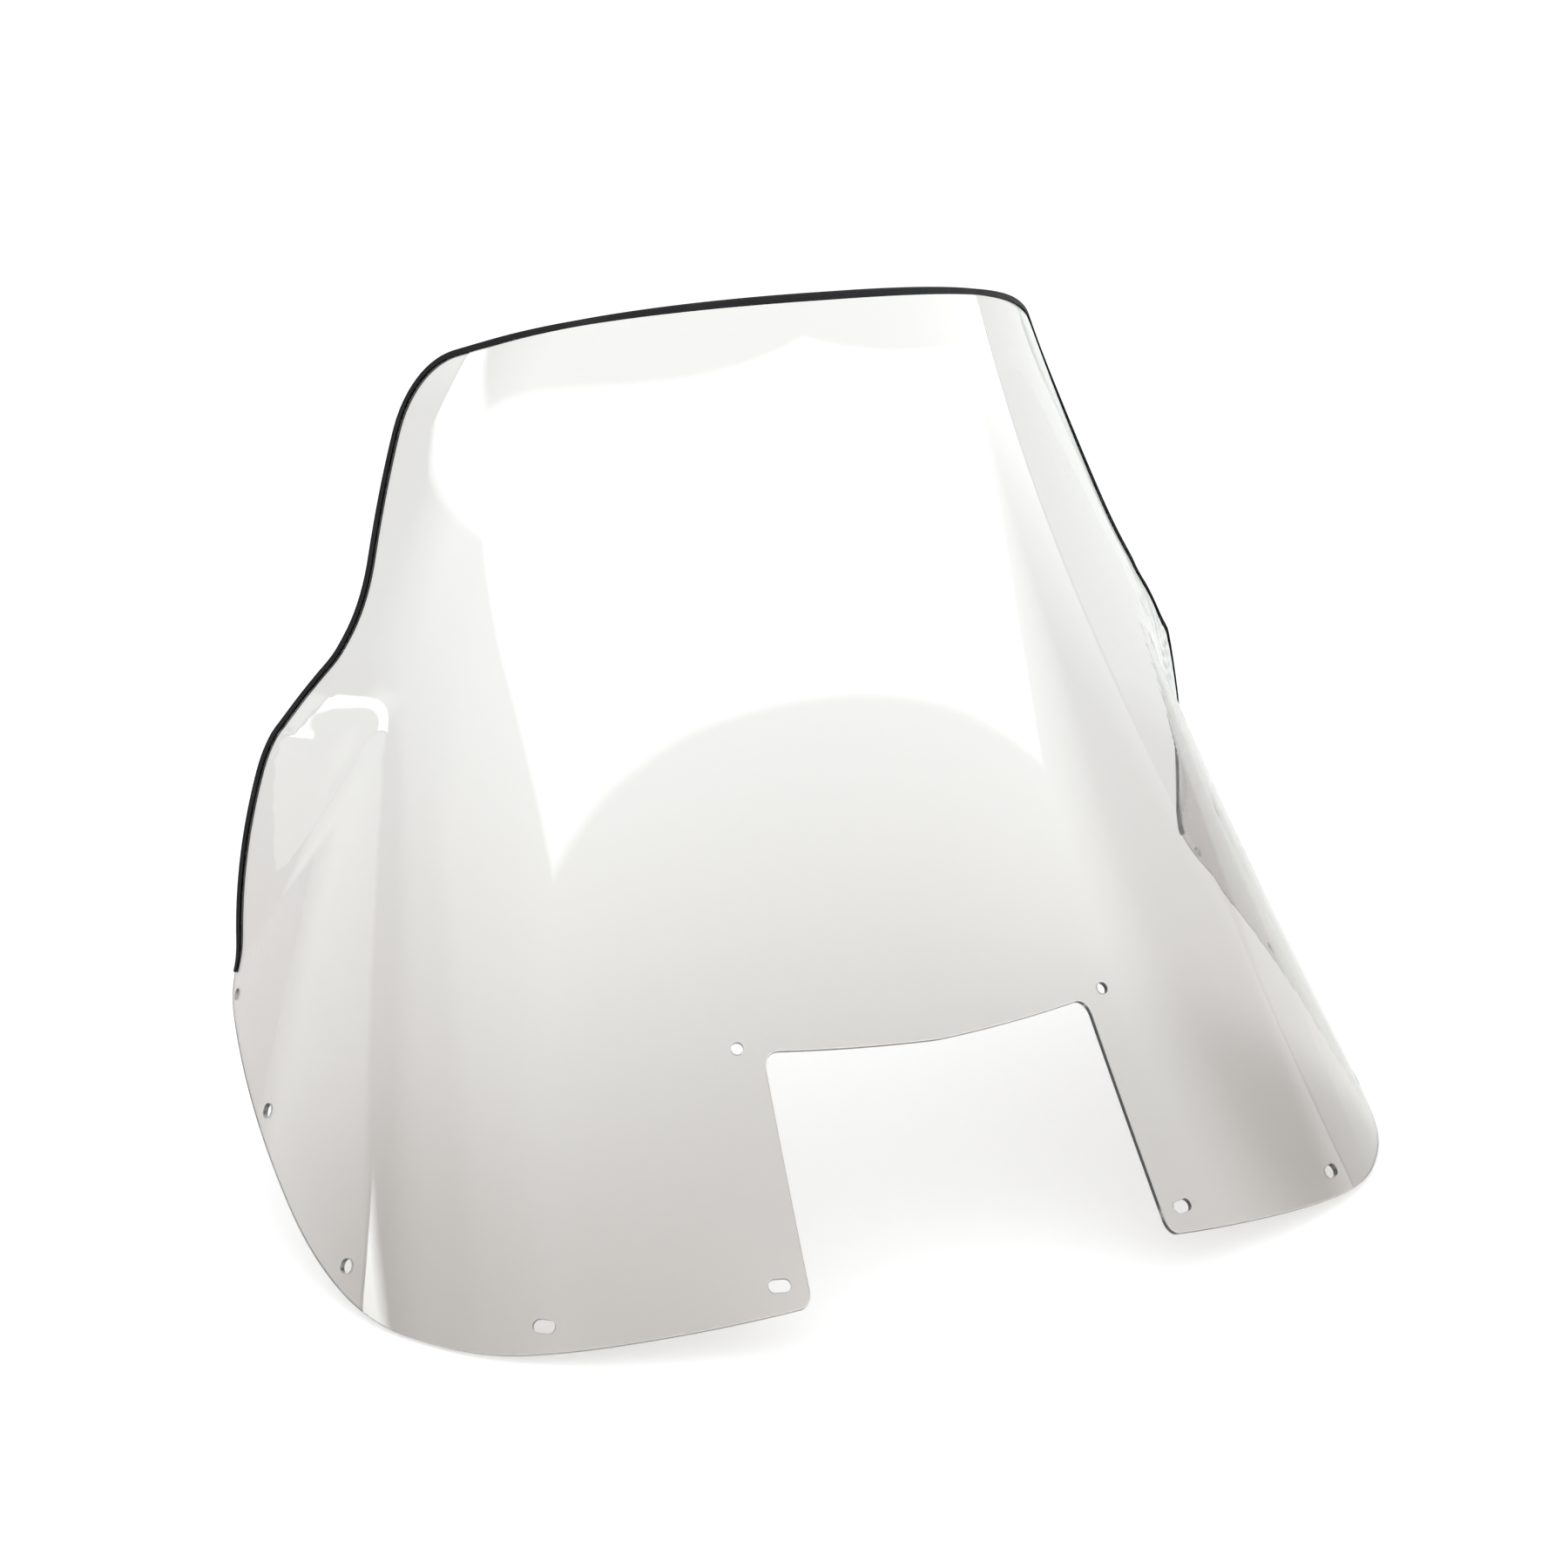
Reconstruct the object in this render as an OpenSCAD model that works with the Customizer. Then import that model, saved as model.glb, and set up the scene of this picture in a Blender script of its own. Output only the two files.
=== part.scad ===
// Windshield screen: one sheet of light-smoke polycarbonate, formed into a swept
// front with a folded wing on each side, and a push-on vinyl trim on its free edge.
//
// The sheet is described by level sections. A place on it is [round, rise]: the
// distance round its level section from the centre line, and the height above the
// lowest edge. X is across, Y runs to the rear and Z is up.

/* [Sheet] */
// Thickness of the sheet
sheet_t = 3; // [2:0.5:4]
// Height of the top edge at the centre line
height = 492; // [480:1:520]
// Distance from the origin forward to the foot of the centre line
foot_front = 212; // [180:1:240]

/* [Front] */
// Radius of the level section at the lowest edge
base_radius = 470; // [440:5:540]
// Radius of the level section at the top edge
top_radius = 170; // [160:5:200]
// Backward lean at the lowest edge, as run over rise
lean = 0.87; // [0.8:0.01:0.95]
// How much of that lean the sheet loses by its top edge
curl = 1.05; // [0.8:0.05:1.2]

/* [Side folds] */
// Angle of the wide cone bend that turns the front into the side
bend_angle = 22; // [16:1:28]
// Distance round to the start of that bend at the lowest edge
bend_start = 216; // [205:1:225]
// Width of that bend at the lowest edge
bend_width = 156; // [130:1:170]
// Angle of the reverse crease that turns the wing outwards again
crease_angle = 25; // [10:1:28]
// Width of the reverse crease
crease_width = 24; // [20:1:40]
// Distance round at which the crease passes the height of the ear's hole
crease_round = 519; // [512:1:530]
// How far the crease bows in from a straight line on its way there
crease_bow = 22; // [0:1:26]
// Distance round to the tip where bend and crease meet
tip_round = 260; // [255:1:265]
// Height of that tip
tip_rise = 280; // [270:1:290]
// Height over which both folds fade out at the tip
tip_fade = 54; // [50:1:80]

/* [Outline] */
// Half width of the notch at its top corners
notch_half = 95; // [90:1:100]
// Height of the notch's top corners
notch_rise = 125; // [120:1:130]
// How far the notch's top edge dips at the centre line
notch_dip = 3; // [0:0.5:6]
// Distance round to the foot of each leg's inner edge
leg_round = 103; // [101:1:108]
// Height of that foot
leg_rise = 22; // [18:1:26]
// Radius of the notch's corners and of the legs' inner feet
leg_corner = 8; // [6:1:10]
// Distance round to the inner end of the flat stretch of the lowest edge
flat_in = 277; // [265:1:290]
// Distance round to its outer end, where the edge climbs to the ear
flat_out = 374; // [365:1:380]
// Distance round to the mounting hole in the ear
ear_round = 491; // [488:1:494]
// Height of that hole
ear_rise = 93; // [91:1:95]
// Radius of the ear round its hole
ear_radius = 11; // [10:1:13]
// Distance round to the shoulder of the free edge
shoulder_round = 372; // [366:1:378]
// Height of the shoulder
shoulder_rise = 236; // [230:1:242]
// Distance round to the neck, the narrowest place of the free edge
neck_round = 281; // [277:1:285]
// Height of the neck
neck_rise = 308; // [302:1:314]
// Distance round to the top corners
corner_round = 249; // [244:1:254]
// Fall of the top edge from the centre line to the top corners
corner_fall = 49; // [44:1:56]
// Radius of the top corners
corner_radius = 64; // [50:1:68]

/* [Mounting holes] */
// Diameter of the holes beside the notch and in the ears
small_hole = 6.5; // [5:0.5:7]
// Diameter of the two holes along each climbing edge
side_hole = 8; // [6:0.5:9]
// Width of the slots along the lowest edge
slot_width = 7; // [6:0.5:8]
// End-to-end length of those slots
slot_length = 11.5; // [10:0.5:14]

/* [Edge trim] */
// Thickness of the trim's walls
trim_wall = 0.8; // [0.6:0.1:1.2]
// Height of the trim over the edge, closed end included
trim_height = 3.4; // [3:0.1:6]
// Gap between the trim and the sheet all round
trim_gap = 0.15; // [0.1:0.05:0.3]
// Radius of the trim's outer corners
trim_corner = 0.8; // [0.5:0.1:0.9]

/* [Hidden] */

// Places of the holes beside the notch, near each corner, on the climbing edge and in the ear
notch_hole = [108, 127];
corner_hole = [362, 18];
edge_hole = [435, 60];
ear_hole = [ear_round, ear_rise];
// Places of the slots in the leg and half way along the lowest edge
leg_slot = [117, 31];
foot_slot = [241, 15];

// Slices that a level section is added up from, and half the step that finds a direction
slices = 40;
slice_share = [for (i = [1:slices]) 1 / slices];
slope_step = 0.5;
// Rows of places from the lower edge to the free edge, and columns on each side
rows = 22;
columns = 48;
// How far above the tip the crease and the bend begin to fade in
crease_start = 16;
bend_rise = 22;
// Width of the bend at the tip, and how far inside the tip it starts
tip_width = 26;
tip_lead = 8;

// ------------------------------------------------------------- form of the sheet

// A step from 0 to 1 that runs straight
function ramp(t) = max(0, min(1, t));

// A step from 0 to 1 that starts and ends level
function ease(t) = let (c = ramp(t)) c * c * (3 - 2 * c);

// Height left to the tip of the folds
function below_tip(rise) = max(0, tip_rise - rise);

// Turn of the front's own curve: each level section is an arc, smaller towards the top
function front_turn(round, rise) =
    round * 180 / PI / (base_radius + (top_radius - base_radius) * rise / height);

// Turn of the cone bend, an even curve that widens from the tip down to the lowest edge
function bend_turn(round, rise) =
    let (down = below_tip(rise) / tip_rise,
         first = tip_round - tip_lead,
         start = first + (bend_start - first) * down,
         width = tip_width + (bend_width - tip_width) * down)
    bend_angle * ease((tip_rise + bend_rise - rise) / tip_fade) * ramp((round - start) / width);

// Turn of the reverse crease, which runs in a bow from the tip to just above the ear
function crease_turn(round, rise) =
    let (part = below_tip(rise) / (tip_rise - ear_rise),
         line = tip_round + (crease_round - tip_round) * part - 4 * crease_bow * part * (1 - part))
    crease_angle * ease((tip_rise + crease_start - rise) / tip_fade)
    * ease((round - line) / crease_width + 0.5);

// Direction of the level section at a place, in degrees from straight across
function heading(round, rise) =
    front_turn(round, rise) + bend_turn(round, rise) - crease_turn(round, rise);

// The centre line leans back at its foot and stands up again towards the top
function centre_line(rise) = lean * rise - curl * rise * pow(rise / height, 2) / 3 - foot_front;

// The point of the sheet's middle surface at a place: short slices of the level
// section, each in its own direction, added up from the centre line
function skin(place) =
    let (round = abs(place.x),
         run = round * slice_share * [for (i = [0:slices - 1])
             let (turn = heading((i + 0.5) * round / slices, place.y)) [cos(turn), sin(turn)]])
    [sign(place.x) * run.x, centre_line(place.y) + run.y, place.y];

function unit(v) = v / norm(v);

// Direction on the sheet at a place for a small move [round, rise]
function slope(place, move) = unit(skin(place + slope_step * move) - skin(place - slope_step * move));

// Outward direction, square to the sheet
function outward(place) = unit(cross(slope(place, [1, 0]), slope(place, [0, 1])));

// ------------------------------------------------------------- outline

function spot(corner) = [corner.x, corner.y];

// n + 1 points round a corner q, with radius r, coming from p and going on to s
function corner_arc(p, q, r, s, n) =
    let (a = unit(p - q),
         b = unit(s - q),
         back = r / tan(acos(a * b) / 2),
         middle = q + unit(a + b) * norm([r, back]),
         from = q + a * back - middle,
         to = q + b * back - middle,
         sweep = acos(from * to / r / r))
    [for (i = [0:n]) middle + (from * sin(sweep * (1 - i / n)) + to * sin(sweep * i / n)) / sin(sweep)];

// A line through rounded corners. Each corner is [round, rise, radius, cells of the
// straight run before it, cells round it]; the first and last are not rounded.
function rounded(corners) =
    let (last = len(corners) - 1,
         arcs = [for (i = [0:last]) i == 0 || i == last ? [spot(corners[i])]
             : corner_arc(spot(corners[i - 1]), spot(corners[i]), corners[i][2],
                          spot(corners[i + 1]), corners[i][4])])
    [arcs[0][0], for (i = [1:last])
        let (from = arcs[i - 1][len(arcs[i - 1]) - 1],
             to = arcs[i][0],
             run = [for (k = [1:corners[i][3]]) from + (to - from) * k / corners[i][3]],
             turn = [for (k = [1:1:len(arcs[i]) - 1]) arcs[i][k]])
        each concat(run, turn)];

// Where a straight edge from a place touches the ear; side is 1 below it and -1 above it
function ear_touch(place, side) =
    let (way = ear_hole - place,
         turn = atan2(way.y, way.x) - side * asin(ear_radius / norm(way)))
    place + sqrt(way * way - pow(ear_radius, 2)) * [cos(turn), sin(turn)];

shoulder = [shoulder_round, shoulder_rise];
ear_low = ear_touch([flat_out, 0], 1);
ear_high = ear_touch(shoulder, -1);
ear_sweep = acos((ear_low - ear_hole) * (ear_high - ear_hole) / pow(ear_radius, 2));
ear_cells = 4;

// Radii of the lower edge where it turns level and where it starts to climb
foot_bow = 400;
climb_bow = 160;

// The lower edge from the centre line out to the ear: notch, leg, foot and climb
lower_edge = concat(
    rounded([
        [0, notch_rise - notch_dip],
        [notch_half, notch_rise, leg_corner, 7, 3],
        [leg_round, leg_rise, leg_corner, 6, 4],
        [flat_in, 0, foot_bow, 9, 2],
        [flat_out, 0, climb_bow, 2, 5],
        [ear_low.x, ear_low.y, 0, 6, 0]]),
    [for (i = [1:ear_cells]) ear_hole
        + ((ear_low - ear_hole) * sin(ear_sweep * (1 - i / ear_cells))
            + (ear_high - ear_hole) * sin(ear_sweep * i / ear_cells)) / sin(ear_sweep)]);

// Place round where the top edge starts to fall, and the radii of the free edge's bends
top_break = 98;
top_bow = 600;
neck_bow = 100;
shoulder_bow = 260;

// The free edge from the centre line over the top corner and down to the ear
free_edge = rounded([
    [0, height],
    [top_break, height, top_bow, 1, 16],
    [corner_round, height - corner_fall, corner_radius, 4, 20],
    [neck_round, neck_rise, neck_bow, 3, 10],
    [shoulder.x, shoulder.y, shoulder_bow, 4, 4],
    [ear_high.x, ear_high.y, 0, 12, 0]]);
// The cell in the middle of the top corner, where the top line ends and the side line starts
corner_cell = 1 + 16 + 4 + 10;

// Distance along a line of points up to each of them
function lengths(points, i = 0, sum = 0) =
    i == len(points) - 1 ? [sum]
    : concat([sum], lengths(points, i + 1, sum + norm(points[i + 1] - points[i])));

// The place at a share of the length of a line of points
function place_at(points, lengths, share) =
    let (want = share * lengths[len(lengths) - 1],
         passed = [for (i = [1:len(lengths) - 2]) if (lengths[i] <= want) i],
         i = len(passed),
         part = (want - lengths[i]) / (lengths[i + 1] - lengths[i]))
    points[i] + part * (points[i + 1] - points[i]);

top_line = [for (i = [0:corner_cell]) free_edge[i]];
side_line = [for (i = [len(free_edge) - 1:-1:corner_cell]) free_edge[i]];
top_lengths = lengths(top_line);
side_lengths = lengths(side_line);

// Columns up to the notch's corner and to the leg's foot, and their shares of the top line
notch_columns = 10;
leg_columns = 20;
notch_share = 0.4;
leg_share = 0.56;

// Share of the top line at each column: the notch, the leg's inner edge, then the rest
function top_share(i) =
    i <= notch_columns ? notch_share * i / notch_columns
    : i <= leg_columns
        ? notch_share + (leg_share - notch_share) * (i - notch_columns) / (leg_columns - notch_columns)
        : leg_share + (1 - leg_share) * (i - leg_columns) / (columns - leg_columns);

// Half a net of places: each column runs from the lower edge to the top line, and the
// columns bend to follow the side line the nearer they are to it
net = [for (i = [0:columns])
    let (share = top_share(i), top = place_at(top_line, top_lengths, share))
    [for (j = [0:rows])
        let (v = j / rows,
             side = place_at(side_line, side_lengths, v),
             chord = side_line[0] + v * (top_line[corner_cell] - side_line[0]))
        lower_edge[i] * (1 - v) + top * v + share * (side - chord)]];

// ------------------------------------------------------------- solids

function mirrored(place) = [-place.x, place.y];

// Two triangles that fill a four-sided cell, cut from its first corner to its third
function cell(p, q, r, s) = [[p, q, r], [p, r, s]];

// The same cell on either side of the centre line, so that its cut is mirrored too
function side_cell(left, p, q, r, s) = left ? cell(s, p, q, r) : cell(p, q, r, s);

module screen_blank() {
    places = concat([for (i = [columns:-1:1]) [for (place = net[i]) mirrored(place)]], net);
    middle = [for (column = places) for (place = column) skin(place)];
    square = [for (column = places) for (place = column) outward(place)];
    count = len(middle);
    across = len(places) - 1;
    high = rows + 1;
    front = [for (i = [0:count - 1]) middle[i] + square[i] * sheet_t / 2];
    back = [for (i = [0:count - 1]) middle[i] - square[i] * sheet_t / 2];
    front_faces = [for (c = [0:across - 1], r = [0:rows - 1])
        let (a = c * high + r, b = a + 1, d = a + high, e = d + 1)
        each side_cell(c < columns, a, b, e, d)];
    back_faces = [for (face = front_faces) [for (k = [2:-1:0]) count + face[k]]];
    lower_faces = [for (c = [0:across - 1])
        let (a = c * high, d = a + high)
        each side_cell(c < columns, a, d, count + d, count + a)];
    upper_faces = [for (c = [0:across - 1])
        let (a = c * high + rows, d = a + high)
        each side_cell(c < columns, a, count + a, count + d, d)];
    left_faces = [for (r = [0:rows - 1])
        let (a = r, b = a + 1)
        each cell(b, a, count + a, count + b)];
    right_faces = [for (r = [0:rows - 1])
        let (a = across * high + r, b = a + 1)
        each cell(b, count + b, count + a, a)];
    polyhedron(points = concat(front, back), convexity = 6,
               faces = concat(front_faces, back_faces, lower_faces, upper_faces, left_faces, right_faces));
}

// Stands its children on the sheet at a place, X along the level section, Z outwards
module on_sheet(place) {
    x = slope(place, [1, 0]);
    z = outward(place);
    y = cross(z, x);
    p = skin(place);
    multmatrix([[x.x, y.x, z.x, p.x], [x.y, y.y, z.y, p.y], [x.z, y.z, z.z, p.z], [0, 0, 0, 1]])
        children();
}

module hole(diameter) {
    cylinder(h = 4 * sheet_t, d = diameter, center = true, $fn = 48);
}

module slot(width, length) {
    reach = (length - width) / 2;
    for (x = [-reach, reach])
        translate([x, 0, 0]) hole(width);
    cube([2 * reach, width, 4 * sheet_t], center = true);
}

module screen() {
    color("gainsboro", 0.6)
        difference() {
            screen_blank();
            for (side = [-1, 1]) {
                on_sheet([side * notch_hole.x, notch_hole.y]) hole(small_hole);
                on_sheet([side * ear_hole.x, ear_hole.y]) hole(small_hole);
                on_sheet([side * corner_hole.x, corner_hole.y]) hole(side_hole);
                on_sheet([side * edge_hole.x, edge_hole.y]) hole(side_hole);
                on_sheet([side * leg_slot.x, leg_slot.y]) slot(slot_width, slot_length);
                on_sheet([side * foot_slot.x, foot_slot.y]) slot(slot_width, slot_length);
            }
        }
}

// The trim's section: first number into the sheet from its edge, second along its thickness
inner = sheet_t / 2 + trim_gap;
outer = inner + trim_wall;
cap = trim_gap + trim_wall;
lip = trim_height - cap;
nip = trim_corner * (1 - sqrt(0.5));
trim_section = [
    [lip, outer], [trim_corner - cap, outer], [nip - cap, outer - nip], [-cap, outer - trim_corner],
    [-cap, trim_corner - outer], [nip - cap, nip - outer], [trim_corner - cap, -outer], [lip, -outer],
    [lip, -inner], [-trim_gap, -inner], [-trim_gap, inner], [lip, inner]];

module edge_trim() {
    half = concat([for (i = [0:columns]) net[i][rows]], [for (j = [rows - 1:-1:0]) net[columns][j]]);
    path = concat([for (i = [len(half) - 1:-1:1]) mirrored(half[i])], half);
    last = len(path) - 1;
    sides = len(trim_section);
    points = [for (i = [0:last])
        let (place = path[i],
             ahead = slope(place, unit(path[min(i + 1, last)] - path[max(i - 1, 0)])),
             square = outward(place),
             inward = cross(ahead, square))
        for (p = trim_section) skin(place) + inward * p.x + square * p.y];
    faces = [
        [for (k = [sides - 1:-1:0]) k],
        for (i = [0:last - 1], k = [0:sides - 1])
            let (a = i * sides + k, b = i * sides + (k + 1) % sides)
            each side_cell(i < last / 2, a, b, b + sides, a + sides),
        [for (k = [0:sides - 1]) last * sides + k]];
    color("black")
        polyhedron(points = points, faces = faces, convexity = 6);
}

screen();
edge_trim();
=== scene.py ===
"""A windshield screen of light-smoke polycarbonate and its push-on edge trim, in a plain white studio.

A place on the sheet is (round, rise): the distance round its level section from the
centre line, and the height above the lowest edge, both in millimetres.
"""

import math

import bpy
import numpy as np
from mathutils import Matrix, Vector
from mathutils.geometry import delaunay_2d_cdt


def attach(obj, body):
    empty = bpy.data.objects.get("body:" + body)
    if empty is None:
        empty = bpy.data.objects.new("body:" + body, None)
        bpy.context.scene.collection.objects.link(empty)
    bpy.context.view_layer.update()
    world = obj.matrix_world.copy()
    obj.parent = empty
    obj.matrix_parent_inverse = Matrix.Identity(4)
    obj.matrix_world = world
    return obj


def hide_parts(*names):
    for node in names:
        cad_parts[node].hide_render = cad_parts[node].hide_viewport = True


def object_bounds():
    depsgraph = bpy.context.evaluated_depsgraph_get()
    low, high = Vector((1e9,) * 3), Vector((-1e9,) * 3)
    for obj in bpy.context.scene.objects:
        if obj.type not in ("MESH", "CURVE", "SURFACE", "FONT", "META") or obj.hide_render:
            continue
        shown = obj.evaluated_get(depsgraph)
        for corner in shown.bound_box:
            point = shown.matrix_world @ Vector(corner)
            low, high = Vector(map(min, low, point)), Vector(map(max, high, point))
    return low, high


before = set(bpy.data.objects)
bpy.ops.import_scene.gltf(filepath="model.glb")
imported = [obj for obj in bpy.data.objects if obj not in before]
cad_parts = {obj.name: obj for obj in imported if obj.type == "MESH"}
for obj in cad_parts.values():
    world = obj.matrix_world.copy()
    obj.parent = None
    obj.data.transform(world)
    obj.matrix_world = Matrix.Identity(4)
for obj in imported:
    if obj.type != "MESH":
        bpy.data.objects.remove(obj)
cad_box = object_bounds()

MM = 0.001

# ---------------------------------------------------------------- driving sizes, in mm

SHEET_T = 3.0
HEIGHT = 492.0
FOOT_FRONT = 212.0
BASE_RADIUS = 470.0
TOP_RADIUS = 170.0
LEAN = 0.87
CURL = 1.05

BEND_ANGLE = 22.0
BEND_START = 216.0
BEND_WIDTH = 156.0
BEND_RISE = 22.0
CREASE_ANGLE = 25.0
CREASE_WIDTH = 24.0
CREASE_ROUND = 519.0
CREASE_BOW = 22.0
CREASE_START = 16.0
TIP = np.array([260.0, 280.0])
TIP_FADE = 54.0
TIP_WIDTH = 26.0
TIP_LEAD = 8.0

EAR = np.array([491.0, 93.0])
EAR_RADIUS = 11.0
CLIMB_FOOT = np.array([374.0, 0.0])
SHOULDER = np.array([372.0, 236.0])

# Round holes as (round, rise, radius, half the length of a slot's straight part)
HOLES = [
    (108.0, 127.0, 3.25, 0.0),
    (362.0, 18.0, 4.0, 0.0),
    (435.0, 60.0, 4.0, 0.0),
    (491.0, 93.0, 3.25, 0.0),
    (117.0, 31.0, 3.5, 2.25),
    (241.0, 15.0, 3.5, 2.25),
]

# Radius of an edge, and how far from it the net of the face starts
EDGE_ROUND = 0.5
EDGE_BAND = 1.3
HOLE_ROUND = 0.3
HOLE_BAND = 0.8

TRIM_WALL = 0.8
TRIM_HEIGHT = 3.4
TRIM_GAP = 0.15
TRIM_CORNER = 0.8
LIP_ROUND = 0.3
INNER_ROUND = 0.15
END_ROUND = 0.2

# Fineness: rows of the net, cells round a rim's quarter circle and a trim's corner, points round a
# hole, slices that a level section is averaged over, half the step that finds a direction, and the
# decimals to which two points are the same
ROWS = 90
RIM_CELLS = 5
TRIM_ARC_CELLS = 5
HOLE_SIDES = 32
SLICES = 160
SLOPE_STEP = 0.1
WELD_DIGITS = 4


# ---------------------------------------------------------------- form of the sheet

def ramp(t):
    """A step from 0 to 1 that runs straight."""
    return np.clip(t, 0, 1)


def ease(t):
    """A step from 0 to 1 that starts and ends level: 3c^2 - 2c^3."""
    c = ramp(t)
    return c * c * (3 - 2 * c)


def heading(round_, rise):
    """Direction of the level section, in degrees: the front's arc, plus the cone bend, less the crease."""
    fall = np.maximum(0, TIP[1] - rise)
    down = fall / TIP[1]
    first = TIP[0] - TIP_LEAD
    start = first + (BEND_START - first) * down
    width = TIP_WIDTH + (BEND_WIDTH - TIP_WIDTH) * down
    part = fall / (TIP[1] - EAR[1])
    line = TIP[0] + (CREASE_ROUND - TIP[0]) * part - 4 * CREASE_BOW * part * (1 - part)
    front = np.degrees(round_ / (BASE_RADIUS + (TOP_RADIUS - BASE_RADIUS) * rise / HEIGHT))
    bend = BEND_ANGLE * ease((TIP[1] + BEND_RISE - rise) / TIP_FADE) * ramp((round_ - start) / width)
    crease = CREASE_ANGLE * ease((TIP[1] + CREASE_START - rise) / TIP_FADE)
    return front + bend - crease * ease((round_ - line) / CREASE_WIDTH + 0.5)


def skin(place):
    """Middle of the sheet: the level section's direction, averaged over short slices and
    multiplied by the distance round, added to the leaning centre line."""
    round_ = np.abs(place[..., 0])
    rise = place[..., 1]
    share = (np.arange(SLICES) + 0.5) / SLICES
    turn = np.radians(heading(round_[..., None] * share, rise[..., None]))
    centre = LEAN * rise - CURL * rise * (rise / HEIGHT) ** 2 / 3 - FOOT_FRONT
    across = place[..., 0] * np.cos(turn).mean(-1)
    return np.stack([across, centre + round_ * np.sin(turn).mean(-1), rise], -1)


def unit(vectors):
    """Vectors brought to length 1."""
    return vectors / np.linalg.norm(vectors, axis=-1, keepdims=True)


def slope(place, move):
    """Direction on the sheet for a small move in (round, rise), from a central difference."""
    step = SLOPE_STEP * np.asarray(move, float)
    return unit(skin(place + step) - skin(place - step))


def outward(place):
    """Square to the sheet, away from the rider: the slopes along and up, crossed."""
    return unit(np.cross(slope(place, (1, 0)), slope(place, (0, 1))))


# ---------------------------------------------------------------- outline

def corner_arc(before, corner, radius, after, cells):
    """cells + 1 points round a corner: the arc that touches both its sides."""
    a = unit(before - corner)
    b = unit(after - corner)
    back = radius / math.tan(math.acos(a @ b) / 2)
    middle = corner + unit(a + b) * math.hypot(radius, back)
    start = corner + a * back - middle
    end = corner + b * back - middle
    return middle + swing(start, end, cells)


def swing(start, end, cells):
    """cells + 1 points on the arc from start to end about the origin."""
    sweep = math.acos(start @ end / (start @ start))
    t = np.linspace(0, 1, cells + 1)[:, None]
    return (start * np.sin(sweep * (1 - t)) + end * np.sin(sweep * t)) / math.sin(sweep)


def rounded(corners):
    """A line through rounded corners, each (round, rise, radius, cells before it, cells round it)."""
    spots = [np.array(c[:2], float) for c in corners]
    line = [spots[0][None]]
    for i in range(1, len(corners)):
        radius, run, turn = corners[i][2:]
        last = i == len(corners) - 1
        arc = spots[i][None] if last else corner_arc(spots[i - 1], spots[i], radius, spots[i + 1], turn)
        t = np.linspace(0, 1, run + 1)[1:, None]
        line += [line[-1][-1] * (1 - t) + arc[0] * t, arc[1:]]
    return np.concatenate(line)


def ear_touch(place, side):
    """Where a straight edge from a place touches the ear: side is 1 below it and -1 above it."""
    way = EAR - place
    turn = math.atan2(way[1], way[0]) - side * math.asin(EAR_RADIUS / math.hypot(*way))
    reach = math.sqrt(way @ way - EAR_RADIUS ** 2)
    return place + reach * np.array([math.cos(turn), math.sin(turn)])


TIP_CELLS = 7
ear_low = ear_touch(CLIMB_FOOT, 1)
ear_high = ear_touch(SHOULDER, -1)
ear_tip = EAR + EAR_RADIUS * unit(ear_low + ear_high - 2 * EAR)

# Notch, leg, foot and climb, from the centre line out to the tip of the ear
LOWER_EDGE = np.concatenate([
    rounded([
        (0, 122, 0, 0, 0),
        (95, 125, 8, 24, 10),
        (103, 22, 8, 22, 12),
        (277, 0, 400, 30, 8),
        (*CLIMB_FOOT, 160, 6, 20),
        (*ear_low, 0, 22, 0)]),
    EAR + swing(ear_low - EAR, ear_tip - EAR, TIP_CELLS)[1:]])
# Columns up to the notch's corner and to the leg's foot, and their shares of the top line
COLUMNS = len(LOWER_EDGE) - 1
NOTCH_COLUMNS = 34
LEG_COLUMNS = 68
NOTCH_SHARE = 0.4
LEG_SHARE = 0.56

# Top edge, top corner, neck and shoulder, from the centre line down to the tip of the ear
FREE_EDGE = np.concatenate([
    rounded([
        (0, 492, 0, 0, 0),
        (98, 492, 600, 4, 64),
        (249, 443, 64, 16, 80),
        (281, 308, 100, 12, 40),
        (*SHOULDER, 260, 16, 24),
        (*ear_high, 0, 48, 0)]),
    EAR + swing(ear_high - EAR, ear_tip - EAR, TIP_CELLS)[1:]])
CORNER_CELL = 4 + 64 + 16 + 40


def lengths(line):
    """Distance along a line of points up to each of them."""
    return np.concatenate([[0], np.cumsum(np.linalg.norm(np.diff(line, axis=0), axis=1))])


def place_at(line, share, measure):
    """The places on a line that match shares of the length of another line of as many points."""
    along = lengths(measure)
    return np.stack([np.interp(share * along[-1], along, line[:, k]) for k in (0, 1)], -1)


def half_net(lower, free):
    """Places from the lower edge to the top line, shape (columns + 1, rows + 1, 2). A column is
    straight between them, and bends to follow the side line the nearer it is to it."""
    top_part = slice(None, CORNER_CELL + 1)
    side_part = slice(None, CORNER_CELL - 1, -1)
    column = np.arange(COLUMNS + 1) / COLUMNS
    share = np.interp(column, [0, NOTCH_COLUMNS / COLUMNS, LEG_COLUMNS / COLUMNS, 1],
                      [0, NOTCH_SHARE, LEG_SHARE, 1])
    along = lengths(FREE_EDGE[side_part])[:TIP_CELLS + 1] / lengths(FREE_EDGE[side_part])[-1]
    v = np.concatenate([along, np.linspace(along[-1], 1, ROWS - TIP_CELLS + 1)[1:]])[:, None]
    top = place_at(free[top_part], share, FREE_EDGE[top_part])[:, None]
    side = place_at(free[side_part], v[:, 0], FREE_EDGE[side_part])
    chord = free[-1] * (1 - v) + free[CORNER_CELL] * v
    return lower[:, None] * (1 - v) + top * v + share[:, None, None] * (side - chord)


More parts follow.
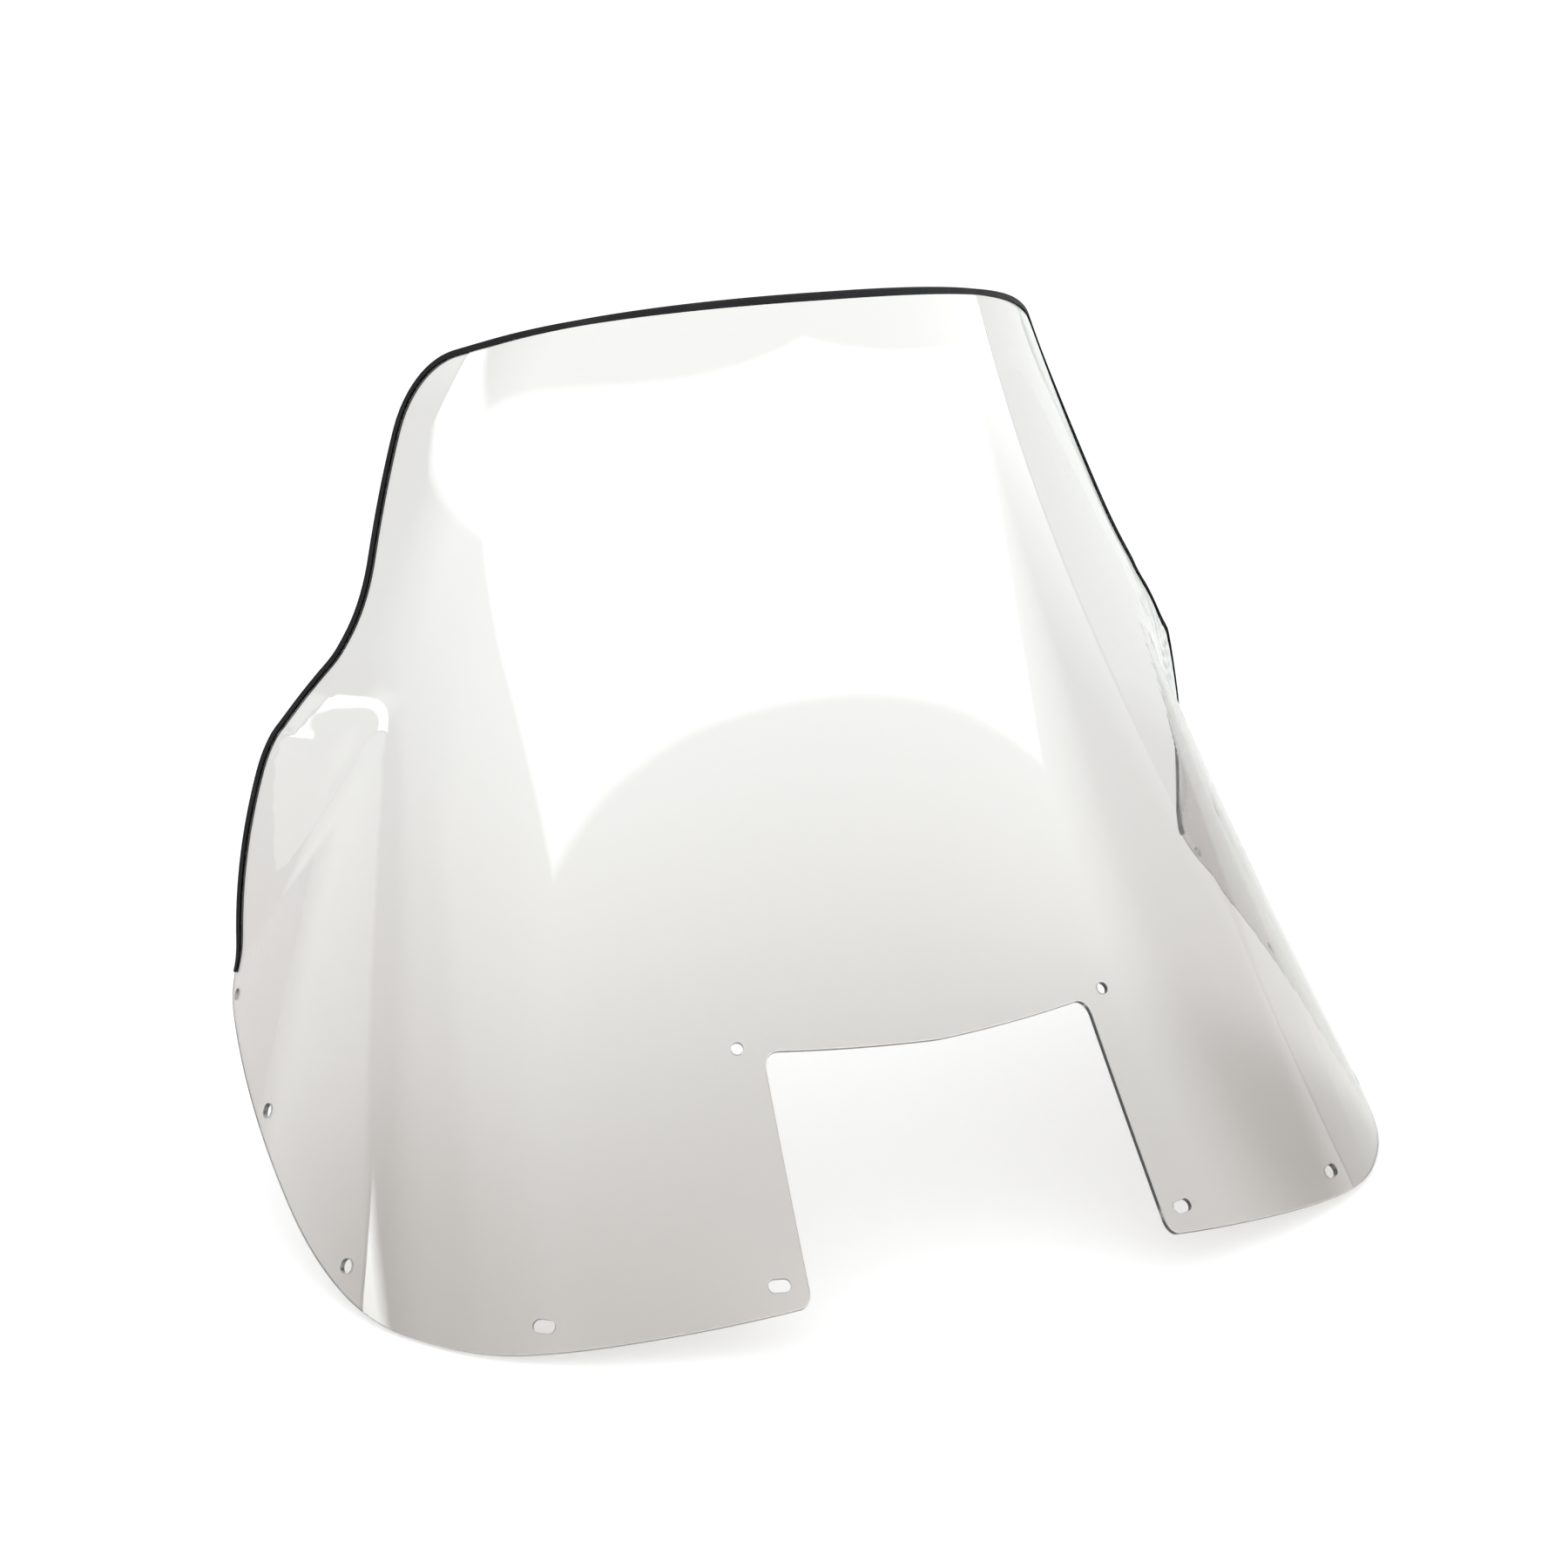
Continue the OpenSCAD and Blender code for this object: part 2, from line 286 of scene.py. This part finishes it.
def mirrored(places):
    """The same places on the other side of the centre line."""
    return places * np.array([-1, 1])


def full_net(lower, free):
    """Both halves, from the left ear to the right one."""
    half = half_net(lower, free)
    return np.concatenate([mirrored(half[:0:-1]), half])


def rates(place):
    """The movements in mm, as vectors, for a unit move round and for a unit move up."""
    return [(skin(place + move) - skin(place - move)) / (2 * SLOPE_STEP)
            for move in SLOPE_STEP * np.eye(2)]


def inset_edges(depth):
    """The lower edge and the free edge, moved in over the sheet by a depth in mm: square to the
    edge in space, turned into a move in (round, rise) by least squares."""
    ring = np.concatenate([
        LOWER_EDGE, FREE_EDGE[-2::-1], mirrored(FREE_EDGE[1:]), mirrored(LOWER_EDGE[-2:0:-1])])
    line = skin(ring)
    ahead = np.roll(line, -1, 0) - np.roll(line, 1, 0)
    inward = unit(np.cross(outward(ring), ahead))
    rate = np.stack(rates(ring), -1)
    turned = np.swapaxes(rate, 1, 2)
    ring = ring + depth * np.linalg.solve(turned @ rate, turned @ inward[..., None])[..., 0]
    last = len(LOWER_EDGE) - 1
    return ring[:last + 1], ring[last:last + len(FREE_EDGE)][::-1]


# ---------------------------------------------------------------- meshes

class Shell:
    """Grids of points with their normals, gathered and welded into one closed mesh."""

    def __init__(self):
        self.points = []
        self.normals = []
        self.cuts = []
        self.faces = []
        self.count = 0

    def add(self, points, normals, cut=None, keep=None, flip=False):
        """Adds a grid of points and one face for each cell that keep says to keep. cut marks
        the points on a cut edge with 1."""
        rows, columns = points.shape[:2]
        index = self.count + np.arange(rows * columns).reshape(rows, columns)
        quads = np.stack([index[:-1, :-1], index[1:, :-1], index[1:, 1:], index[:-1, 1:]], -1)
        quads = quads[keep] if keep is not None else quads.reshape(-1, 4)
        cut = np.zeros(rows * columns) if cut is None else cut.reshape(-1)
        self.gather(points.reshape(-1, 3), normals.reshape(-1, 3), cut, quads, flip)

    def gather(self, points, normals, cut, faces, flip):
        """Adds points with their normals and marks, and faces that count from the first of all."""
        self.points.append(points)
        self.normals.append(normals)
        self.cuts.append(cut)
        self.faces.append(faces[:, ::-1] if flip else faces)
        self.count += len(points)

    def mesh(self, name):
        """Welds points that meet, and gives each its own normal and its mark for a cut edge."""
        points = np.concatenate(self.points)
        normals = np.concatenate(self.normals)
        cuts = np.concatenate(self.cuts)
        _, first, place = np.unique(
            np.round(points, WELD_DIGITS), axis=0, return_index=True, return_inverse=True)
        place = place.reshape(-1)
        corners = np.concatenate([group.reshape(-1) for group in self.faces])
        used, place = np.unique(place[corners], return_inverse=True)
        faces = []
        for group in self.faces:
            faces += place[:group.size].reshape(group.shape).tolist()
            place = place[group.size:]
        mesh = bpy.data.meshes.new(name)
        mesh.from_pydata(points[first][used] * MM, [], faces)
        mesh.shade_smooth()
        mesh.normals_split_custom_set_from_vertices(normals[first][used])
        mark = mesh.attributes.new("cut_edge", "FLOAT", "POINT")
        mark.data.foreach_set("value", cuts[first][used].astype(np.float32))
        return mesh


def piece(name, mesh, node, material):
    """Puts a mesh into the scene as the piece that stands for a CAD node."""
    thing = bpy.data.objects.new(name, mesh)
    bpy.context.scene.collection.objects.link(thing)
    mesh.materials.append(material)
    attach(thing, "root")
    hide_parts(node)
    return thing


def rim_section(radius):
    """An edge's section as (in from the edge, out of the sheet) with its normals: a place on the
    face, a quarter circle, the straight wall, another quarter circle and the other face."""
    half = SHEET_T / 2
    turn = np.radians(np.linspace(90, 0, RIM_CELLS + 1))
    arc = np.stack([radius - radius * np.cos(turn), half - radius + radius * np.sin(turn)], -1)
    way = np.stack([-np.cos(turn), np.sin(turn)], -1)
    top = np.concatenate([[[2 * radius, half]], arc])
    top_way = np.concatenate([[[0, 1]], way])
    under = np.array([1, -1])
    return np.concatenate([top, top[::-1] * under]), np.concatenate([top_way, top_way[::-1] * under])


def carry(section, origin, first, second):
    """A section's points (or normals) at each station, along that station's two directions."""
    return origin + first[:, None] * section[:, :1] + second[:, None] * section[:, 1:]


def add_rim(shell, middle, inward, square, faces, radius, flip):
    """Carries the edge's section along a closed line of points, from one face's line of points
    to the other's."""
    section, way = rim_section(radius)
    points = carry(section, middle[:, None], inward, square)
    points[:, 0], points[:, -1] = faces
    cut = np.zeros(points.shape[:2])
    cut[:, 2:-2] = 1
    shell.add(points, carry(way, 0, inward, square), cut, flip=flip)


def border_of(grid):
    """A grid's border as one line: lower edge, right side, top edge, left side, without its first
    place again at the end."""
    return np.concatenate([grid[:, 0], grid[-1, 1:], grid[-2::-1, -1], grid[0, -2:0:-1]])


def closed(line):
    """A line with its first point again at its end."""
    return np.concatenate([line, line[:1]])


def flattening(place):
    """The matrix that turns a small move in (round, rise) into one in mm, level and up the sheet,
    and those two directions."""
    along, up = rates(place)
    x = unit(along)
    y = np.cross(outward(place), x)
    return np.array([[along @ x, up @ x], [along @ y, up @ y]]), x, y


def ring_round(hole, step):
    """A closed line of HOLE_SIDES points round a hole or slot, a step outside its wall, with
    the directions away from its middle line, in mm on the flattened sheet."""
    radius, reach = hole[2:]
    turn = np.linspace(0, 2 * np.pi, HOLE_SIDES, endpoint=False) + np.pi / HOLE_SIDES
    way = np.stack([np.cos(turn), np.sin(turn)], -1)
    core = np.stack([np.sign(way[:, 0]) * reach, 0 * turn], -1)
    return core + way * (radius + step), way


def edges_of(cells):
    """The sides of the marked cells that no other marked cell shares, as pairs of (column, row)."""
    wide = np.pad(cells, 1)
    sides = []
    for axis in (0, 1):
        for turn in (0, 1):
            alone = wide & ~np.roll(wide, 1 - 2 * turn, axis)
            start = np.argwhere(alone) - 1
            start[:, axis] += turn
            end = start.copy()
            end[:, 1 - axis] += 1
            sides.append(np.stack([start, end], 1))
    return np.concatenate(sides)


def between(points, ends):
    """Whether each point is inside a set of closed lines, given as pairs of ends: a level ray
    from it crosses them an odd number of times."""
    (x1, y1), (x2, y2) = ends.transpose(1, 2, 0)
    x, y = points[:, :1], points[:, 1:]
    rise = np.where(y1 == y2, 1, y2 - y1)
    crossed = ((y1 > y) != (y2 > y)) & (x < x1 + (x2 - x1) * (y - y1) / rise)
    return crossed.sum(1) % 2 == 1


def cut_hole(shell, net, faces, keep, hole, side):
    """Takes the cells round a hole out of both faces, fills the gap up to the hole with triangles
    and adds the hole's wall."""
    place = np.array([side * hole[0], hole[1]])
    rate, x, y = flattening(place)
    flat = (net - place) @ rate.T
    far = np.hypot(np.maximum(0, np.abs(flat[..., 0]) - hole[3]), flat[..., 1])
    near = far < hole[2] + 2 * HOLE_BAND
    cells = near[1:, 1:] | near[1:, :-1] | near[:-1, 1:] | near[:-1, :-1]
    keep &= ~cells
    sides = edges_of(cells)
    corners, ends = np.unique(sides.reshape(-1, 2), axis=0, return_inverse=True)
    ring, way = ring_round(hole, HOLE_BAND)
    spots = np.concatenate([flat[tuple(corners.T)], ring])
    count = np.arange(HOLE_SIDES) + len(corners)
    lines = np.concatenate([ends.reshape(-1, 2), np.stack([count, np.roll(count, -1)], -1)])
    found = delaunay_2d_cdt([Vector(spot) for spot in spots], lines.tolist(), [], 1, 1e-6, True)
    triangles = np.array([ids[0] for ids in found[3]])[np.array(found[2])]
    triangles = triangles[between(spots[triangles].mean(1), spots[lines])]
    ring = place + ring @ np.linalg.inv(rate).T
    ring_square = outward(ring)
    square = outward(place)
    walls = []
    for sign, face, normals in faces:
        band = skin(ring) + ring_square * (sign * SHEET_T / 2)
        points = np.concatenate([face[tuple(corners.T)], band])
        ways = np.concatenate([normals[tuple(corners.T)], ring_square * sign])
        shell.gather(points, ways, np.zeros(len(points)), shell.count + triangles, sign < 0)
        walls.append(closed(band))
    wall, way = ring_round(hole, 0)
    wall = skin(place + wall @ np.linalg.inv(rate).T)
    away = way[:, :1] * x + way[:, 1:] * y
    add_rim(shell, closed(wall), closed(away), np.broadcast_to(square, (HOLE_SIDES + 1, 3)), walls,
            HOLE_ROUND, False)


def build_screen():
    """The sheet: a front and a back grid, a rounded rim, and twelve holes with their walls."""
    shell = Shell()
    loop = border_of(full_net(LOWER_EDGE, FREE_EDGE))
    border = skin(loop)
    loop_square = outward(loop)
    inward = unit(np.cross(loop_square, np.roll(border, -1, 0) - np.roll(border, 1, 0)))
    net = full_net(*inset_edges(EDGE_BAND))
    middle = skin(net)
    square = outward(net)
    faces = [(sign, middle + square * (sign * SHEET_T / 2), square * sign) for sign in (1, -1)]
    add_rim(shell, closed(border), closed(inward), closed(loop_square),
            [closed(border_of(face)) for _, face, _ in faces], EDGE_ROUND, True)
    keep = np.ones((net.shape[0] - 1, net.shape[1] - 1), bool)
    for hole in HOLES:
        for side in (-1, 1):
            cut_hole(shell, net, faces, keep, hole, side)
    for sign, face, normals in faces:
        shell.add(face, normals, keep=keep, flip=sign < 0)
    return shell.mesh("formed_screen")


def trim_section():
    """The trim's U section as an outer and an inner line of (in from the edge, out of the sheet),
    each round four rounded corners from the front lip to the back one."""
    inner = SHEET_T / 2 + TRIM_GAP
    outer = inner + TRIM_WALL
    cap = TRIM_GAP + TRIM_WALL
    lip = TRIM_HEIGHT - cap
    outside = np.array([[lip, outer], [-cap, outer], [-cap, -outer], [lip, -outer]])
    inside = np.array([[lip, inner], [-TRIM_GAP, inner], [-TRIM_GAP, -inner], [lip, -inner]])
    lines = []
    for corners, others, radii in (
            (outside, inside, (LIP_ROUND, TRIM_CORNER, TRIM_CORNER, LIP_ROUND)),
            (inside, outside, (LIP_ROUND, INNER_ROUND, INNER_ROUND, LIP_ROUND))):
        way = np.concatenate([others[:1], corners, others[-1:]])
        lines.append(np.concatenate([
            corner_arc(way[i], way[i + 1], radii[i], way[i + 2], TRIM_ARC_CELLS) for i in range(4)]))
    return lines


def build_trim():
    """The trim: its section carried round the free edge from ear to ear, with eased ends."""
    shell = Shell()
    net = full_net(LOWER_EDGE, FREE_EDGE)
    path = np.concatenate([net[0, TIP_CELLS:-1], net[:, -1], net[-1, -2:TIP_CELLS - 1:-1]])
    middle = skin(path)
    square = outward(path)
    ahead = unit(np.gradient(middle, axis=0))
    inward = unit(np.cross(ahead, square))
    outer, inner = trim_section()
    ring = np.concatenate([outer, inner[::-1]])
    run = unit(np.roll(ring, -1, 0) - np.roll(ring, 1, 0))
    way = np.stack([run[:, 1], -run[:, 0]], -1)
    points = carry(closed(ring), middle[:, None], inward, square)
    normals = carry(closed(way), 0, inward, square)
    eased = closed(ring - way * END_ROUND)
    ends = []
    for k, sign in ((0, -1), (-1, 1)):
        ends.append(carry(eased, middle[k], inward[k][None], square[k][None])[0])
        points[k] -= sign * ahead[k] * END_ROUND
    end_normals = [np.broadcast_to(sign * ahead[k], ends[0].shape) for k, sign in ((0, -1), (-1, 1))]
    points = np.concatenate([ends[:1], points, ends[1:]])
    normals = np.concatenate([end_normals[:1], normals, end_normals[1:]])
    shell.add(points, normals)
    half = len(outer)
    for end, normal, flip in zip(ends, end_normals, (False, True)):
        cap = np.stack([end[:half], end[2 * half - 1:half - 1:-1]], 1)
        shell.add(cap, np.broadcast_to(normal[0], cap.shape), flip=flip)
    return shell.mesh("push_on_trim")


# ---------------------------------------------------------------- materials

class Number:
    """A number socket that takes part in sums: each operator adds a Math node."""

    def __init__(self, nodes, socket):
        self.nodes = nodes
        self.socket = socket

    def math(self, operation, *values):
        return Number(self.nodes, self.nodes.add("ShaderNodeMath", {"operation": operation}, values))

    def __add__(self, other):
        return self.math("ADD", self, other)

    def __sub__(self, other):
        return self.math("SUBTRACT", self, other)

    def __mul__(self, other):
        return self.math("MULTIPLY", self, other)

    def __rsub__(self, other):
        return self.math("SUBTRACT", other, self)

    __radd__ = __add__
    __rmul__ = __mul__


class Nodes:
    """A new material's node tree, with one method that adds any node."""

    def __init__(self, name):
        self.material = bpy.data.materials.new(name)
        self.material.use_nodes = True
        self.tree = self.material.node_tree
        self.tree.nodes.clear()

    def add(self, kind, settings=None, sockets=(), output=0):
        """Adds a node, sets its settings, then its sockets by number or name; returns an output."""
        node = self.tree.nodes.new(kind)
        for key, value in (settings or {}).items():
            setattr(node, key, value)
        pairs = sockets.items() if isinstance(sockets, dict) else enumerate(sockets)
        for key, value in pairs:
            value = value.socket if isinstance(value, Number) else value
            if isinstance(value, bpy.types.NodeSocket):
                self.tree.links.new(value, node.inputs[key])
            else:
                node.inputs[key].default_value = value
        return node.outputs[output] if node.outputs else None

    def number(self, kind, settings=None, sockets=(), output=0):
        """The same, with the output wrapped for sums."""
        return Number(self, self.add(kind, settings, sockets, output))

    def noise(self, scale, detail=2.0, stretch=(1, 1, 1)):
        """Noise from 0 to 1 in the object's own coordinates, scale in waves a metre."""
        place = self.add("ShaderNodeTexCoord", output="Object")
        place = self.add("ShaderNodeMapping", None, {"Vector": place, "Scale": stretch})
        return self.number("ShaderNodeTexNoise", None, {"Vector": place, "Scale": scale, "Detail": detail})

    def span(self, value, low, high, first, last):
        """A number that runs smoothly from first to last as value runs from low to high."""
        return self.number("ShaderNodeMapRange", {"interpolation_type": "SMOOTHSTEP"}, {
            "Value": value, "From Min": low, "From Max": high, "To Min": first, "To Max": last})

    def blend(self, share, first, second):
        """A colour between two colours."""
        return self.add("ShaderNodeMix", {"data_type": "RGBA"}, {0: share, 6: first, 7: second}, output=2)

    def bump(self, height, strength, distance):
        """A normal tilted by a height that runs from 0 to 1 over a distance in metres."""
        return self.add("ShaderNodeBump", None, {
            "Height": height, "Strength": strength, "Distance": distance})

    def finish(self, shader):
        """Joins the shader to the output and returns the material."""
        self.add("ShaderNodeOutputMaterial", None, {"Surface": shader})
        return self.material


# The low smoke colour is the tint with painted shade on it, darker and warmer. It lies at the bottom of
# the sheet and fades into the high one, the tint itself, up to the height given below in metres.
SMOKE_AND_PAINTED_SHADE = (0.55, 0.52, 0.50, 1)
SMOKE_HIGH = (0.66, 0.655, 0.64, 1)
SMOKE_EDGE = (0.36, 0.35, 0.34, 1)
POLYCARBONATE_IOR = 1.585
PAINTED_SHADE_TOP = 0.36
VINYL_BLACK = (0.008, 0.008, 0.009, 1)
VINYL_RUBBED = (0.02, 0.02, 0.021, 1)


def smoke_polycarbonate():
    """Clear sheet with a light, warm smoke tint, given painted shade that makes it darker and warmer
    towards the bottom: polished faces with a faint ripple left by forming and a trace of haze, and
    satin routed edges."""
    nodes = Nodes("smoke_polycarbonate")
    edge = nodes.number("ShaderNodeAttribute", {"attribute_name": "cut_edge"}, output="Fac")
    place = nodes.add("ShaderNodeTexCoord", output="Object")
    height = nodes.number("ShaderNodeSeparateXYZ", None, {"Vector": place}, output="Z")
    # Painted shade: the colour runs from the darker, warmer low smoke at the bottom to the plain tint
    # higher up, over a boundary wobbled by noise.
    drift = nodes.noise(3.0) * 0.06
    depth = nodes.span(height + drift, 0.0, PAINTED_SHADE_TOP, 0.0, 1.0)
    tint = nodes.blend(edge * 0.75, nodes.blend(depth, SMOKE_AND_PAINTED_SHADE, SMOKE_HIGH), SMOKE_EDGE)
    haze = nodes.span(nodes.noise(18.0, 4.0), 0.35, 0.75, 0.0, 0.035)
    streak = nodes.span(nodes.noise(60.0, 3.0, (1, 1, 0.12)), 0.55, 0.75, 0.0, 0.02)
    rough = haze + streak + edge * 0.3
    ripple = nodes.noise(9.0, 1.0) * (1 - edge)
    grain = nodes.noise(900.0, 2.0) * edge
    bump = nodes.bump(ripple + grain * 0.02, 0.12, 0.0015)
    return nodes.finish(nodes.add("ShaderNodeBsdfPrincipled", None, {
        "Base Color": tint, "Roughness": rough, "Normal": bump, "IOR": POLYCARBONATE_IOR,
        "Transmission Weight": 1.0}))


def black_vinyl():
    """Extruded black vinyl: satin, with a fine grain, patchy roughness and rubbed patches."""
    nodes = Nodes("black_vinyl")
    rub = nodes.span(nodes.noise(40.0, 5.0), 0.5, 0.8, 0.0, 1.0)
    colour = nodes.blend(rub, VINYL_BLACK, VINYL_RUBBED)
    grain = nodes.noise(2500.0, 3.0)
    rough = nodes.span(nodes.noise(120.0, 3.0), 0.3, 0.7, 0.5, 0.62) + rub * 0.08
    return nodes.finish(nodes.add("ShaderNodeBsdfPrincipled", None, {
        "Base Color": colour, "Roughness": rough, "Normal": nodes.bump(grain, 0.25, 0.0002),
        "Specular IOR Level": 0.06}))


piece("formed_screen", build_screen(), "screen", smoke_polycarbonate())
piece("push_on_trim", build_trim(), "edge_trim", black_vinyl())


# ---------------------------------------------------------------- studio

# Glows are in the shader's own units, in which 1 is plain white
ROOM_WHITE = 0.95
FLOOR_HALF = 12.0
FLOOR_GLOW = 0.27
WALL_RADIUS = 60.0
WALL_TINT = (0.96, 1.0, 0.975, 1)
WALL_GLOW = 9.0
FOOT_GLOW = 6.5

# Turns are from straight ahead of the screen and heights from level, both in degrees.
# The wall's skyline, as (turn, height):
SKYLINE = np.array([
    (-106, 17), (-99, 19.5), (-92, 21), (-75, 24), (-48, 46), (70, 27), (84, 0), (97, 0)])

# The dimmer stretch under the wall: its lowest height, where its top line is lowest, how fast
# that line climbs to the left and to the right, its gap under the skyline, and its glow from the
# wall's left end inwards
WALL_LOWEST = -60.0
LOW_TURN = 15
LOW_HEIGHT = -19
LOW_CLIMB = (0.33, 0.2)
LOW_GAP = 7
LOW_GLOW = ([-95, -75], [2.0, 3.9])

# The halo over the skyline: half the width of the step up to it, its two heights, and the glow
# at its foot and at its first height for a few turns
HALO_EDGE = 0.8
HALO_HEIGHTS = (18, 40)
HALO_FOOT = ([-100, -85], [ROOM_WHITE, 3.8])
HALO_MIDDLE = ([-85, -72, 60, 85], [ROOM_WHITE, 2.6, 2.6, ROOM_WHITE])


def build_floor():
    """A pale, matt floor under the lowest edge, left out of mirror images."""
    z = cad_box[0].z
    mesh = bpy.data.meshes.new("floor")
    corners = [(x * FLOOR_HALF, y * FLOOR_HALF, z) for x, y in ((-1, -1), (1, -1), (1, 1), (-1, 1))]
    mesh.from_pydata(corners, [], [(0, 1, 2, 3)])
    floor = bpy.data.objects.new("floor", mesh)
    bpy.context.scene.collection.objects.link(floor)
    nodes = Nodes("pale_floor")
    colour = nodes.blend(nodes.noise(2.0), (0.95, 0.95, 0.95, 1), (0.97, 0.97, 0.97, 1))
    matt = nodes.add("ShaderNodeBsdfDiffuse", None, {"Color": colour})
    glow = nodes.add("ShaderNodeEmission", None, {"Strength": FLOOR_GLOW})
    mesh.materials.append(nodes.finish(nodes.add("ShaderNodeAddShader", None, (matt, glow))))
    floor.visible_glossy = False


def light_sheet(name, turn, rows):
    """A curved sheet of light that only mirror images show. Its rows are (height, glow), either
    one number or one for each turn, both over a sphere round the screen."""
    rise = np.radians(np.stack([row[0] + 0 * turn for row in rows]))
    glow = np.stack([row[1] + 0 * turn for row in rows])
    ahead = np.radians(turn)
    points = WALL_RADIUS * np.stack([
        np.sin(ahead) * np.cos(rise), -np.cos(ahead) * np.cos(rise), np.sin(rise)], -1)
    index = np.arange(rise.size).reshape(rise.shape)
    quads = np.stack([index[:-1, :-1], index[:-1, 1:], index[1:, 1:], index[1:, :-1]], -1).reshape(-1, 4)
    mesh = bpy.data.meshes.new(name)
    mesh.from_pydata(points.reshape(-1, 3), [], quads.tolist())
    mark = mesh.attributes.new("glow", "FLOAT", "POINT")
    mark.data.foreach_set("value", glow.reshape(-1).astype(np.float32))
    sheet = bpy.data.objects.new(name, mesh)
    bpy.context.scene.collection.objects.link(sheet)
    nodes = Nodes(name)
    strength = nodes.add("ShaderNodeAttribute", {"attribute_name": "glow"}, output="Fac")
    mesh.materials.append(nodes.finish(nodes.add("ShaderNodeEmission", None, {
        "Color": WALL_TINT, "Strength": strength})))
    sheet.visible_camera = False
    sheet.visible_diffuse = False
    sheet.visible_transmission = False
    sheet.visible_shadow = False


def build_light_wall():
    """The bright wall: full brightness up to the skyline, dimmer near the floor, and a halo above
    the skyline that fades to the room's own white. A dim panel stands beside each end of it."""
    turn = np.linspace(SKYLINE[0, 0], SKYLINE[-1, 0], 501)
    top = np.interp(turn, SKYLINE[:, 0], SKYLINE[:, 1])
    climb = np.where(turn < LOW_TURN, *LOW_CLIMB)
    low = np.minimum(LOW_HEIGHT + climb * np.abs(turn - LOW_TURN), top - LOW_GAP)
    low_glow = np.interp(turn, *LOW_GLOW)
    light_sheet("light_wall", turn, [
        (WALL_LOWEST, low_glow), (low - HALO_EDGE, low_glow), (low + HALO_EDGE, FOOT_GLOW),
        (top - HALO_EDGE, WALL_GLOW), (top + HALO_EDGE, np.interp(turn, *HALO_FOOT)),
        (top + HALO_HEIGHTS[0], np.interp(turn, *HALO_MIDDLE)), (top + HALO_HEIGHTS[1], ROOM_WHITE)])
    turn = np.linspace(-139, -107, 33)
    glow = np.interp(turn, [-139, -133], [1.2, 2.1])
    light_sheet("left_panel", turn, [(-3, 1.2), (0, glow), (15, glow), (17, ROOM_WHITE)])
    turn = np.linspace(98, 165, 68)
    top = np.interp(turn, [98, 115, 165], [13, 5, 2])
    light_sheet("right_panel", turn, [(-35, 1.0), (-5, 1.3), (top, 1.5), (top + 1, ROOM_WHITE)])


def build_room():
    """Even white light from all round."""
    world = bpy.data.worlds.new("room")
    world.use_nodes = True
    world.node_tree.nodes["Background"].inputs["Color"].default_value = (1, 1, 1, 1)
    world.node_tree.nodes["Background"].inputs["Strength"].default_value = ROOM_WHITE
    scene = bpy.context.scene
    scene.world = world
    scene.view_settings.view_transform = "Standard"


CAMERA_PLACE = np.array([-621.0, -1405.0, 752.0]) * MM
CAMERA_TURN = 22.35
CAMERA_FALL = 18.76
CAMERA_LENS = 68.0


def build_camera():
    """Low on the screen's left-hand front, looking slightly down at it."""
    data = bpy.data.cameras.new("camera")
    data.lens = CAMERA_LENS
    data.sensor_width = 36.0
    camera = bpy.data.objects.new("camera", data)
    camera.location = CAMERA_PLACE
    camera.rotation_euler = (math.radians(90 - CAMERA_FALL), 0, -math.radians(CAMERA_TURN))
    bpy.context.scene.collection.objects.link(camera)
    bpy.context.scene.camera = camera


build_floor()
build_light_wall()
build_room()
build_camera()
